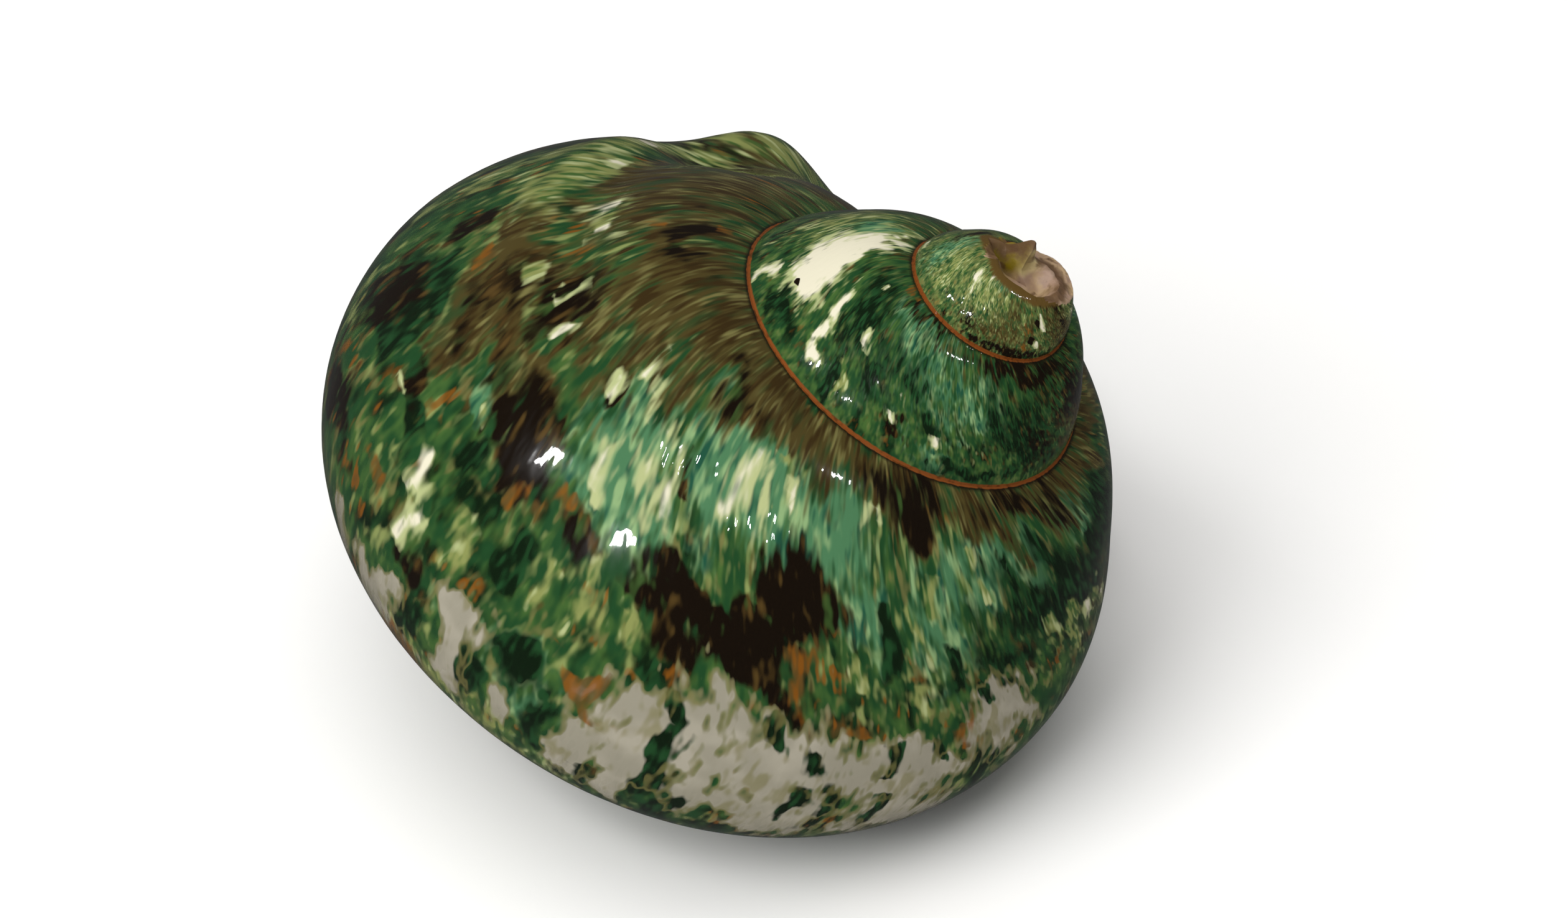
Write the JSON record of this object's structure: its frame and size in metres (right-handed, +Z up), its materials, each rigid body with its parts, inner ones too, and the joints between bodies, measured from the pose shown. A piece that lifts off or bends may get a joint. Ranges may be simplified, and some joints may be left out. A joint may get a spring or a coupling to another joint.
{
  "type": "turban shell",
  "caption": "Polished green turban snail shell with a rounded body whorl, a low coiled spire, a broken tip and an open round mouth, lying mouth down.",
  "frame": {"origin": "under the middle of the shell, on the surface that it lies on", "axes": "+Z up, away from the mouth; +Y away from the side seen in the picture, along the shell's greatest width; +X to that view's right, where the tip is"},
  "size_m": [0.0728, 0.085, 0.0508],
  "materials": {
    "shell": "polished shell, green with cream, brown and pearly grey, glossy"
  },
  "bodies": {
    "root": {"shell": "shell"}
  },
  "joints": []
}
